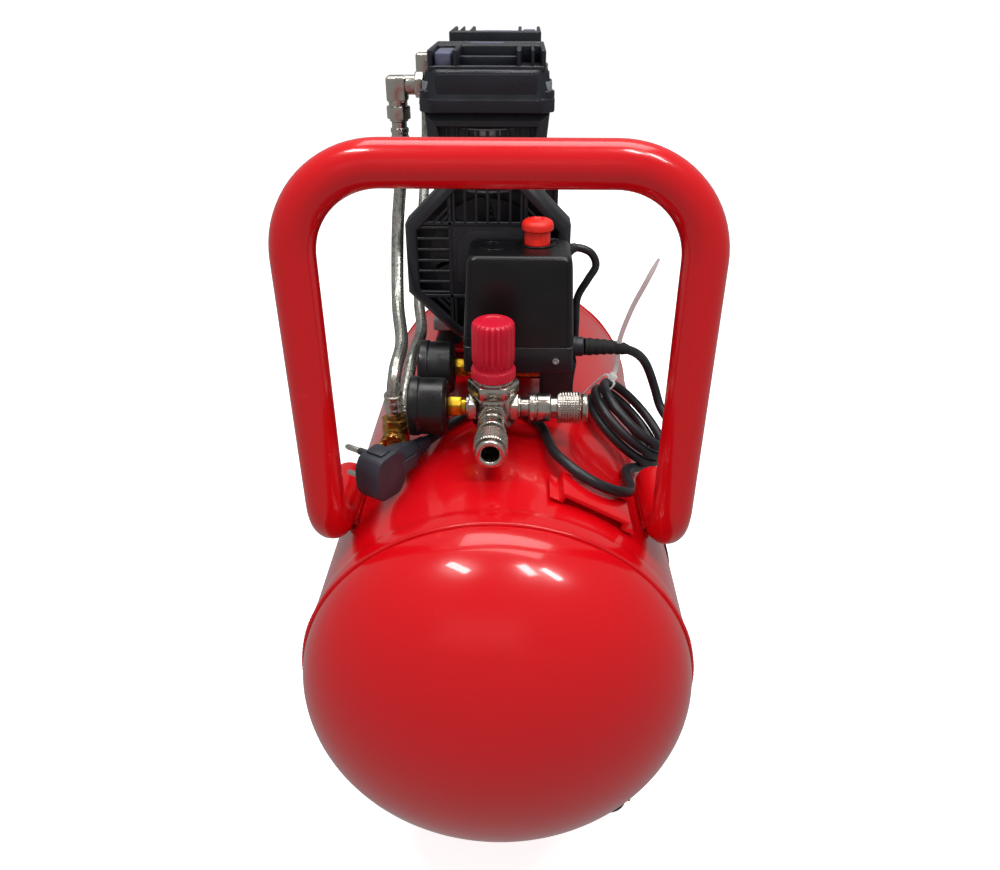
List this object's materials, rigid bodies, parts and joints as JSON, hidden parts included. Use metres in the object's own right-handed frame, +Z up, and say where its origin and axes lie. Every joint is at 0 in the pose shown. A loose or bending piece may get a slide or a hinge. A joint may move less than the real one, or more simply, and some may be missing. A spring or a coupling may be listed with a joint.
{
  "type": "air compressor",
  "caption": "Portable direct-drive air compressor: horizontal tank on wheels and feet, twin cylinders on one motor shaft, pressure switch, regulator with gauges and quick couplers, loop handle",
  "frame": {"origin": "middle of the footprint, on the floor", "axes": "+X across to the right as seen from the handle's end, +Y along the tank from the handle to the pump's far end, +Z up"},
  "size_m": [0.2784, 0.5624, 0.5418],
  "materials": {
    "red_paint": "gloss red enamel with fine dust and rubs",
    "black_plastic": "moulded black plastic, fine grain",
    "black_casting": "black painted aluminium casting, bare on worn edges",
    "rubber": "matt rubber",
    "tyre_rubber": "solid rubber tyre",
    "aluminium": "sand cast",
    "steel": "machined and lightly oiled",
    "braided_steel": "braided wire sleeve",
    "nickel": "nickel plate over brass",
    "brass": "machined brass",
    "crimson_knob": "moulded",
    "gauge_case": "semi-gloss black",
    "gauge_needle": "matt black",
    "switch_plastic": "satin moulded black",
    "stop_knob": "moulded orange red",
    "cord_jacket": "satin rubber sheath",
    "plug_plastic": "moulded slate grey"
  },
  "bodies": {
    "compressor": {"tank_barrel": "red_paint", "tank_rear_head": "red_paint", "tank_front_head": "red_paint", "handle": "red_paint", "data_plate_bracket": "red_paint", "axle_bracket": "red_paint", "foot_bracket": "red_paint", "pump_platform": "red_paint", "axle": "steel", "rubber_foot_left": "rubber", "rubber_foot_right": "rubber", "motor_stator": "steel", "check_valve": "brass", "delivery_hose_front": "braided_steel", "delivery_hose_rear": "braided_steel", "manifold": "brass", "safety_valve": "brass", "regulator_body": "nickel", "outlet_gauge_case": "gauge_case", "tank_gauge_case": "gauge_case", "front_coupler_body": "nickel", "side_coupler_body": "nickel", "switch_base": "switch_plastic", "switch_cover": "switch_plastic", "motor_lead": "cord_jacket", "power_cord_coil": "cord_jacket", "mains_plug": "plug_plastic", "power_cord": "cord_jacket", "power_cord_rise": "cord_jacket", "crankcase_front": "aluminium", "cylinder_front": "aluminium", "cylinder_head_front": "black_casting", "fan_guard_front": "black_plastic", "outlet_elbow_front": "nickel", "pump_mount_front_left": "rubber", "pump_mount_front_right": "rubber", "crankcase_rear": "aluminium", "cylinder_rear": "aluminium", "cylinder_head_rear": "black_casting", "fan_guard_rear": "black_plastic", "outlet_elbow_rear": "nickel", "pump_mount_rear_left": "rubber", "pump_mount_rear_right": "rubber"},
    "wheel_left": {"wheel_hub_left": "black_plastic", "wheel_tyre_left": "tyre_rubber"},
    "wheel_right": {"wheel_hub_right": "black_plastic", "wheel_tyre_right": "tyre_rubber"},
    "motor_rotor": {"motor_shaft": "steel", "fan_front": "black_plastic", "fan_rear": "black_plastic"},
    "piston_front": {"piston_front": "aluminium"},
    "piston_rear": {"piston_rear": "aluminium"},
    "regulator_knob": {"regulator_knob": "crimson_knob"},
    "switch_knob": {"switch_knob": "stop_knob"},
    "front_coupler_sleeve": {"front_coupler_sleeve": "nickel"},
    "side_coupler_sleeve": {"side_coupler_sleeve": "nickel"},
    "outlet_gauge_needle": {"outlet_gauge_needle": "gauge_needle"},
    "tank_gauge_needle": {"tank_gauge_needle": "gauge_needle"},
    "safety_valve_ring": {"safety_valve_ring": "steel"},
    "drain_screw": {"drain_screw": "brass"}
  },
  "joints": [
    {"name": "wheel_left_spin", "type": "hinge", "parent": "compressor", "child": "wheel_left", "pos_m": [-0.1202, 0.145, 0.054], "axis": [1, 0, 0], "continuous": true},
    {"name": "wheel_right_spin", "type": "hinge", "parent": "compressor", "child": "wheel_right", "pos_m": [0.1202, 0.145, 0.054], "axis": [1, 0, 0], "continuous": true},
    {"name": "motor_spin", "type": "hinge", "parent": "compressor", "child": "motor_rotor", "pos_m": [-0.012, 0.12, 0.403], "axis": [0, 1, 0], "continuous": true},
    {"name": "piston_front_stroke", "type": "slide", "parent": "compressor", "child": "piston_front", "axis": [0, 0, 1], "range_m": [-0.006, 0.006]},
    {"name": "piston_rear_stroke", "type": "slide", "parent": "compressor", "child": "piston_rear", "axis": [0, 0, 1], "range_m": [-0.006, 0.006]},
    {"name": "regulator_knob_turn", "type": "hinge", "parent": "compressor", "child": "regulator_knob", "pos_m": [-0.005, -0.1, 0.376], "axis": [0, 0, 1], "range_deg": [-180, 1080]},
    {"name": "switch_knob_press", "type": "slide", "parent": "compressor", "child": "switch_knob", "axis": [0, 0, 1], "range_m": [-0.006, 0]},
    {"name": "front_coupler_release", "type": "slide", "parent": "compressor", "child": "front_coupler_sleeve", "axis": [0, 1, 0], "range_m": [0, 0.004], "stiffness_N_per_m": 800, "springref_m": -0.002},
    {"name": "side_coupler_release", "type": "slide", "parent": "compressor", "child": "side_coupler_sleeve", "axis": [-1, 0, 0], "range_m": [0, 0.004], "stiffness_N_per_m": 800, "springref_m": -0.002},
    {"name": "outlet_gauge_read", "type": "hinge", "parent": "compressor", "child": "outlet_gauge_needle", "pos_m": [-0.056, -0.1, 0.334], "axis": [1, 0, 0], "range_deg": [0, 270]},
    {"name": "tank_gauge_read", "type": "hinge", "parent": "compressor", "child": "tank_gauge_needle", "pos_m": [-0.056, -0.04, 0.334], "axis": [1, 0, 0], "range_deg": [0, 270]},
    {"name": "safety_valve_lift", "type": "slide", "parent": "compressor", "child": "safety_valve_ring", "axis": [0, 1, 0], "range_m": [0, 0.003], "stiffness_N_per_m": 800, "springref_m": -0.002},
    {"name": "drain_screw_turn", "type": "hinge", "parent": "compressor", "child": "drain_screw", "pos_m": [0, 0, 0.058], "axis": [0, 0, 1], "range_deg": [0, 720]}
  ]
}
